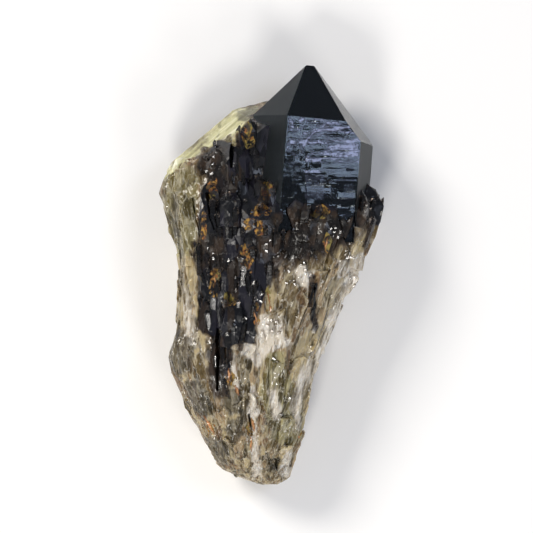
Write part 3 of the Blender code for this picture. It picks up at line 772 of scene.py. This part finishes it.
def growth_face_finish(name, least_rough):
    """Smoky quartz with natural growth faces: clear but nearly black in its depth, with faint etching that is
    painted pale lavender as a reflection of the lavender light.

    Glassy where least_rough is small, so that it mirrors lights and the dark blades, and satin where it is
    large.
    """
    material, tree = new_material(name)
    place = node(tree, "ShaderNodeTexCoord").outputs["Object"]
    turned = node(tree, "ShaderNodeMapping", None, place, Rotation=(0.0, 0.0, math.radians(LARGE_LEAN)))
    etch_and_painted_sheen = node(tree, "ShaderNodeAttribute", {"attribute_name": "etch_and_painted_sheen"}).outputs["Fac"]
    bands = node(tree, "ShaderNodeTexNoise", None,
                 Vector=node(tree, "ShaderNodeMapping", None, turned, Scale=per_metre(5.0, 0.55, 5.0)),
                 Scale=1.0, Detail=4.0, Roughness=0.62)
    etch = node(tree, "ShaderNodeTexNoise", None,
                Vector=node(tree, "ShaderNodeMapping", None, turned, Scale=per_metre(0.9, 0.6, 0.9)),
                Scale=1.0, Detail=5.0, Roughness=0.7, Distortion=0.8)
    grain = node(tree, "ShaderNodeMapRange", RANGE, etch, 0.36, 0.64, 0.45, 1.5)
    grained_etch_and_painted_sheen = node(tree, "ShaderNodeMath", MULTIPLY, etch_and_painted_sheen, grain)
    etch_and_sheen_bump = node(tree, "ShaderNodeMapRange", RANGE, etch_and_painted_sheen, 0.0, 0.3, 0.0, 1.0)
    bump = node(tree, "ShaderNodeBump", None, etch_and_sheen_bump, 0.08 * MM, Height=bands)
    bump = node(tree, "ShaderNodeBump", None, etch_and_sheen_bump, 0.05 * MM, Height=etch, Normal=bump)
    rough = node(tree, "ShaderNodeMapRange", RANGE, grained_etch_and_painted_sheen, 0.0, 0.8, least_rough, max(least_rough, 0.30))
    # Where the etching and painted sheen is, the face is less clear and pale lavender: a painted reflection
    # of the lavender light
    clear = node(tree, "ShaderNodeMapRange", RANGE, grained_etch_and_painted_sheen, 0.0, 1.0, 1.0, 0.25)
    colour = node(tree, "ShaderNodeMix", BLEND, node(tree, "ShaderNodeMapRange", RANGE, grained_etch_and_painted_sheen, 0.0, 0.1),
                  linear("#f2f2f4"), linear("#a3acd0"))
    shader = node(tree, "ShaderNodeBsdfPrincipled", None, Base_Color=colour, Roughness=rough, IOR=QUARTZ_IOR,
                  Transmission_Weight=clear, Specular_IOR_Level=0.3, Specular_Tint=linear("#e2f2ff"),
                  Normal=bump)
    depth = node(tree, "ShaderNodeVolumeAbsorption", None, Color=linear("#958e89"), Density=1200.0)
    node(tree, "ShaderNodeOutputMaterial", None, Surface=shader, Volume=depth)
    return material


def small_crystal_finish():
    """Small smoky quartz crystals: glassy and brown where they are thin, black where they are thick.

    The glittering chips are thin enough to be nearly clear.
    """
    material, tree = new_material("small_smoky_quartz_crystals")
    place = node(tree, "ShaderNodeTexCoord").outputs["Object"]
    etch = node(tree, "ShaderNodeTexNoise", None,
                Vector=node(tree, "ShaderNodeMapping", None, place, Scale=per_metre(1.5, 0.4, 1.5)),
                Scale=1.0, Detail=3.0)
    bump = node(tree, "ShaderNodeBump", None, 0.4, 0.06 * MM, Height=etch)
    rough = node(tree, "ShaderNodeMapRange", RANGE, etch, 0.35, 0.7, 0.10, 0.26)
    shader = node(tree, "ShaderNodeBsdfPrincipled", None, Base_Color=linear("#f2f0ee"), Roughness=rough,
                  IOR=QUARTZ_IOR, Transmission_Weight=1.0, Specular_IOR_Level=0.4, Normal=bump)
    depth = node(tree, "ShaderNodeVolumeAbsorption", None, Color=linear("#a28e7c"), Density=900.0)
    node(tree, "ShaderNodeOutputMaterial", None, Surface=shader, Volume=depth)
    return material


def layered(tree, colour, *layers):
    """Lays colours over a first one, each where its value runs from low to high and at most so strong."""
    for value, low, high, strength, layer in layers:
        share = node(tree, "ShaderNodeMapRange", RANGE, value, low, high, 0.0, strength)
        colour = node(tree, "ShaderNodeMix", BLEND, share, colour, layer)
    return colour


# Clouds and fibres inside the columns: sizes across, along and up the fan, then detail and roughness
CLOUDS = (
    ("fibre", (0.7, 5.0, 0.7), 5.0, 0.6), ("cloud", (2.6, 5.0, 2.6), 4.0, 0.55),
    ("broad", (6.0, 11.0, 6.0), 3.0, 0.5), ("spots", (1.2, 1.7, 1.2), 6.0, 0.7),
)
# Shards of the columns: sizes across, along and up the fan, and how far the clouds bend them
SHARDS = (("blade", (2.8, 11.0, 2.8), 0.9), ("chip", (1.6, 3.2, 1.6), 0.3), ("grain", (0.7, 1.1, 0.7), 0.0))
# The kinds of quartz in the columns: a first colour and the layers over it, each with the pattern that it
# follows, from where to where that runs, how strong the layer is at most, and its colour
KINDS = {
    "plain": ("#69593a", ("tint_1", 0.45, 0.7, 0.9, "#3f351f"), ("tint_2", 0.5, 0.8, 0.9, "#b9a985"),
              ("tint_3", 0.6, 0.8, 0.5, "#8f6f50"), ("cloud", 0.5, 0.66, 0.7, "#d4c7a6"),
              ("cloud", 0.46, 0.32, 0.8, "#2f2719"), ("fibre", 0.56, 0.68, 0.6, "#dfd3b8"),
              ("fibre", 0.42, 0.32, 0.5, "#3a3122"), ("seams", 0.06, 0.0, 0.4, "#d2ccbe")),
    "olive": ("#6b6139", ("tint_1", 0.45, 0.75, 0.8, "#4a4225"), ("tint_2", 0.5, 0.8, 0.8, "#a89f76"),
              ("cloud", 0.52, 0.68, 0.7, "#ccc6a8"), ("fibre", 0.57, 0.68, 0.5, "#dedccd"),
              ("cloud", 0.44, 0.32, 0.8, "#38321c"), ("seams", 0.06, 0.0, 0.4, "#ccc8b0")),
    "milky": ("#d3cabb", ("cloud", 0.52, 0.66, 0.9, "#f2ede4"), ("broad", 0.49, 0.37, 0.8, "#75684f"),
              ("fibre", 0.45, 0.34, 0.8, "#7a6e5a"), ("fibre", 0.55, 0.66, 0.8, "#f7f5f1"),
              ("spots", 0.58, 0.68, 0.6, "#f4f2ee")),
    "creamy": ("#cfcb9e", ("streaks", 0.5, 0.62, 0.9, "#efecd0"), ("streaks", 0.46, 0.36, 0.7, "#9d9970"),
               ("cloud", 0.4, 0.3, 0.6, "#6f6c4c")),
    # dusky quartz, also laid as painted shade over the hollow near (1, -53)
    "dusky_and_shaded": ("#3f3a2e", ("cloud", 0.48, 0.62, 0.9, "#767062"), ("fibre", 0.54, 0.66, 0.6, "#b4ae9e"),
              ("tint_1", 0.5, 0.7, 0.8, "#26231c")),
    "smoky": ("#0d0e12", ("blade_1", 0.3, 0.8, 1.0, "#1a1922"), ("blade_2", 0.7, 0.8, 1.0, "#251d17")),
    "brown": ("#14100d", ("cloud", 0.42, 0.68, 1.0, "#382c22"), ("fibre", 0.6, 0.74, 0.3, "#75685c")),
    "rusty": ("#5c3c17", ("spots", 0.49, 0.58, 1.0, "#a67e36"), ("broad", 0.45, 0.6, 0.8, "#7d763c"),
              ("seams", 0.08, 0.03, 0.8, "#2c2013"), ("grain_1", 0.88, 0.92, 0.6, "#8a4a1e")),
}


def cloud_patterns(tree, place, along):
    """Clouds and fibres stretched along the columns, and the streaks of the shoulder's slab, by name."""
    patterns = {}
    for name, sizes, detail, roughness in CLOUDS:
        placed = node(tree, "ShaderNodeMapping", None, along, Scale=per_mm(*sizes))
        patterns[name] = node(tree, "ShaderNodeTexNoise", None, Vector=placed, Scale=1.0, Detail=detail,
                              Roughness=roughness)
    slab = node(tree, "ShaderNodeMapping", None, place, Rotation=(0.0, 0.0, math.radians(SLAB_TURN)))
    slab = node(tree, "ShaderNodeMapping", None, slab, Scale=per_metre(11.0, 1.0, 3.0))
    patterns["streaks"] = node(tree, "ShaderNodeTexNoise", None, Vector=slab, Scale=1.0, Detail=4.0,
                               Roughness=0.55)
    return patterns


def shard_patterns(tree, along, cloud):
    """Three random values for each shard and the seams between blades, by name, and the heights of breaks.

    Each chip and each grain is a flat break that leans its own way.
    """
    patterns, heights = {}, {}
    warp = node(tree, "ShaderNodeVectorMath", SUBTRACT, cloud.outputs["Color"], MIDDLE)
    for name, sizes, bend in SHARDS:
        placed = node(tree, "ShaderNodeMapping", None, along, Scale=per_mm(*sizes))
        bent = node(tree, "ShaderNodeVectorMath", SCALE, warp, Scale=bend)
        placed = node(tree, "ShaderNodeVectorMath", ADD, placed, bent)
        cells = node(tree, "ShaderNodeTexVoronoi", None, Vector=placed, Scale=1.0)
        drawn = {name: cells}
        if name == "blade":
            patterns["seams"] = node(tree, "ShaderNodeTexVoronoi", {"feature": "DISTANCE_TO_EDGE"},
                                     Vector=placed, Scale=1.0)
            drawn["tint"] = node(tree, "ShaderNodeTexVoronoi", {"feature": "SMOOTH_F1"}, Vector=placed,
                                 Scale=1.0, Smoothness=0.35)
        else:
            lean = node(tree, "ShaderNodeVectorMath", SUBTRACT, cells.outputs["Color"], MIDDLE)
            inner = node(tree, "ShaderNodeVectorMath", SUBTRACT, placed, cells.outputs["Position"])
            heights[name] = node(tree, "ShaderNodeVectorMath", DOT, lean, inner).outputs["Value"]
        for label, texture in drawn.items():
            values = node(tree, "ShaderNodeSeparateColor", None, Color=texture.outputs["Color"]).outputs
            patterns.update({f"{label}_{number}": value for number, value in enumerate(values, 1)})
    return patterns, heights


def kinds_of_quartz(tree, patterns):
    """The colours of the kinds of quartz in the columns, by name."""
    kinds = {}
    for name, (first, *layers) in KINDS.items():
        laid = [(patterns[pattern], *limits, linear(colour)) for pattern, *limits, colour in layers]
        kinds[name] = layered(tree, linear(first), *laid)
    return kinds


def in_cracks(tree, place, spots):
    """How far inside a stained crack a place is: 0 or less outside, up to 1 in its middle."""
    frayed = node(tree, "ShaderNodeVectorMath", SUBTRACT, spots.outputs["Color"], MIDDLE)
    frayed = node(tree, "ShaderNodeVectorMath", SCALE, frayed, Scale=CRACK_FRAY * MM)
    frayed = node(tree, "ShaderNodeVectorMath", ADD, place, frayed)
    deepest = 0.0
    for x, y, wide, tall, turn in CRACKS:
        middle = tuple((Vector((x, y, FRONT_ABOVE)) + CENTRING) * MM)
        local = node(tree, "ShaderNodeMapping", {"vector_type": "TEXTURE"}, frayed, middle,
                     (0.0, 0.0, math.radians(turn)), (wide * MM, tall * MM, CRACK_DEPTH * MM))
        away = node(tree, "ShaderNodeVectorMath", {"operation": "LENGTH"}, local).outputs["Value"]
        within = node(tree, "ShaderNodeMath", SUBTRACT, 1.0, away)
        deepest = node(tree, "ShaderNodeMath", LARGER, deepest, within)
    return deepest


def columns_finish():
    """Milky to smoky columnar quartz: cloudy shards with pale cracks between them and glassy breaks."""
    material, tree = new_material("milky_to_smoky_columnar_quartz")
    place = node(tree, "ShaderNodeTexCoord").outputs["Object"]
    zone = node(tree, "ShaderNodeAttribute", {"attribute_name": "zone"})
    tone = node(tree, "ShaderNodeAttribute", {"attribute_name": "tone"}).outputs["Vector"]
    along = node(tree, "ShaderNodeAttribute", {"attribute_name": "fan"}).outputs["Vector"]
    smoky, milky, creamy = node(tree, "ShaderNodeSeparateColor", None, Color=zone.outputs["Color"]).outputs
    olive, dusky_and_shaded, brown = node(tree, "ShaderNodeSeparateXYZ", None, Vector=tone).outputs
    clouds = cloud_patterns(tree, place, along)
    shards, heights = shard_patterns(tree, along, clouds["cloud"])
    kinds = kinds_of_quartz(tree, {**clouds, **shards})

    # Where each kind is, with borders that follow the clouds
    wobble = node(tree, "ShaderNodeMath", SUBTRACT, clouds["cloud"], 0.5)
    wobble = node(tree, "ShaderNodeMath", MULTIPLY, wobble, 1.6)
    smoke, milk, cream, green, dusk_and_shade = (node(tree, "ShaderNodeMath", ADD, weight, wobble)
                                       for weight in (smoky, milky, creamy, olive, dusky_and_shaded))
    dark_share = node(tree, "ShaderNodeMapRange", RANGE, smoke, 0.3, 0.8)
    stain = node(tree, "ShaderNodeMath", MULTIPLY, zone.outputs["Alpha"],
                 node(tree, "ShaderNodeMapRange", RANGE, clouds["spots"], 0.46, 0.52))
    stained = node(tree, "ShaderNodeMapRange", RANGE, stain, 0.3, 0.5)
    crack = in_cracks(tree, place, clouds["spots"])
    dark = layered(tree, kinds["smoky"], (brown, 0.2, 0.8, 1.0, kinds["brown"]))
    colour = layered(tree, kinds["plain"], (green, 0.2, 0.9, 0.9, kinds["olive"]),
                     (milk, 0.2, 0.9, 1.0, kinds["milky"]), (cream, 0.3, 0.7, 1.0, kinds["creamy"]),
                     (dusk_and_shade, 0.3, 0.9, 0.75, kinds["dusky_and_shaded"]), (smoke, 0.05, 0.5, 0.8, linear("#5a4c3a")),
                     (dark_share, 0.0, 1.0, 1.0, dark), (stained, 0.0, 1.0, 1.0, kinds["rusty"]),
                     (crack, 0.0, 0.2, 0.8, linear("#80532f")), (crack, 0.25, 0.5, 0.9, linear("#d09a6c")))

    # Calm places, the smoky blades and the slab of the shoulder, are smoother than the broken ones
    calm = node(tree, "ShaderNodeMath", MULTIPLY, dark_share,
                node(tree, "ShaderNodeMapRange", RANGE, brown, 0.0, 1.0, 1.0, 0.5))
    calm = node(tree, "ShaderNodeMath", LARGER, calm, creamy)
    rugged = node(tree, "ShaderNodeMapRange", RANGE, calm, 0.0, 1.0, 0.8, 0.12)
    bump = node(tree, "ShaderNodeBump", None, rugged, 1.0 * MM, Height=heights["chip"])
    bump = node(tree, "ShaderNodeBump", None, rugged, 0.3 * MM, Height=heights["grain"], Normal=bump)
    rough = node(tree, "ShaderNodeMapRange", RANGE, shards["chip_3"], 0.3, 0.9, 0.05, 0.38)
    for share, least in ((dark_share, 0.20), (stained, 0.75)):
        rough = node(tree, "ShaderNodeMath", LARGER, rough,
                     node(tree, "ShaderNodeMapRange", RANGE, share, 0.0, 1.0, 0.0, least))
    cloudy = node(tree, "ShaderNodeMapRange", RANGE, dark_share, 0.0, 1.0, 0.85, 0.0)
    shader = node(tree, "ShaderNodeBsdfPrincipled", None, Base_Color=colour, Roughness=rough, IOR=QUARTZ_IOR,
                  Normal=bump, Specular_IOR_Level=0.4, Subsurface_Weight=cloudy,
                  Subsurface_Radius=(1.0, 0.9, 0.75), Subsurface_Scale=2.2 * MM)
    node(tree, "ShaderNodeOutputMaterial", None, Surface=shader)
    return material


def finished(piece, *materials):
    """Gives a piece its materials, slot by slot, says what it rides on and hides the imported node in its
    place.
    """
    slots = piece.data.materials
    while len(slots) < len(materials):
        slots.append(None)
    for number, material in enumerate(materials):
        slots[number] = material
    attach(piece, "root")
    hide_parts(NODE)


def softbox(name, place, size, colour, radiance):
    """A rectangular light that faces AIM and is equally bright whatever its size."""
    light = bpy.data.lights.new(name, "AREA")
    light.shape = "RECTANGLE"
    light.size, light.size_y = size
    light.color = colour
    light.energy = radiance * math.pi * size[0] * size[1]
    obj = bpy.data.objects.new(name, light)
    obj.location = place
    obj.rotation_euler = (AIM - Vector(place)).to_track_quat("-Z", "Y").to_euler()
    bpy.context.scene.collection.objects.link(obj)


def studio():
    """A pale floor, four soft boxes, a dim sky and a camera that looks straight down."""
    shape = bmesh.new()
    bmesh.ops.create_grid(shape, x_segments=1, y_segments=1, size=FLOOR_HALF_WIDTH)
    floor = stored("floor", shape)
    material, tree = new_material("pale_studio_floor")
    shader = node(tree, "ShaderNodeBsdfPrincipled", None, Base_Color=linear("#f7f6f5"), Roughness=0.9)
    node(tree, "ShaderNodeOutputMaterial", None, Surface=shader)
    floor.data.materials.append(material)

    world = bpy.data.worlds.new("studio")
    world.use_nodes = True
    sky = world.node_tree.nodes["Background"].inputs
    sky["Color"].default_value = linear(SKY_COLOUR)
    sky["Strength"].default_value = SKY_STRENGTH
    bpy.context.scene.world = world
    for box in SOFT_BOXES:
        softbox(*box)

    camera = bpy.data.cameras.new("camera")
    camera.sensor_width = SENSOR
    camera.lens = SENSOR * CAMERA_ABOVE / VIEW_WIDTH
    camera.clip_end = CAMERA_REACH
    view = bpy.data.objects.new("camera", camera)
    x, y = VIEW_MIDDLE
    view.location = (x + CENTRING.x * MM, y + CENTRING.y * MM, VIEW_LEVEL + CAMERA_ABOVE)
    bpy.context.scene.collection.objects.link(view)
    bpy.context.scene.camera = view
    bpy.context.scene.view_settings.view_transform = "Standard"


group = crystal_group()
tree = scatter_tree()
crystal_finish = small_crystal_finish()
point = small_point("point", 1.2, 3.0)
small = scattered("small_crystals", tree, group, Crystal=point, Finish=crystal_finish, Zone="smoky_share",
                  Spacing=2.6 * MM, Per_Square_Metre=90000.0, Smallest=0.6, Largest=2.2, Lean_Out=0.14,
                  Stray=0.12, Seed=5)
bpy.data.objects.remove(point)
grain = small_point("grain", 0.6, 0.6)
glitter = scattered("glittering_chips", tree, group, Crystal=grain, Finish=crystal_finish,
                    Zone="glitter_share", Spacing=1.1 * MM, Per_Square_Metre=600000.0, Smallest=0.3,
                    Largest=0.9, Lean_Out=0.0, Stray=1.5, Seed=8, Front=tuple(GLINT_WEIGHT * GLINT_NORMAL),
                    Front_First=True)
bpy.data.objects.remove(grain)
for piece in (small, glitter):
    put_back(piece.data, places_of(piece.data))
finished(group, columns_finish(), growth_face_finish("smoky_quartz_growth_faces", GLASSY_ROUGHNESS),
         growth_face_finish("smoky_quartz_satin_faces", SATIN_ROUGHNESS))
finished(small, crystal_finish)
finished(glitter, crystal_finish)
studio()
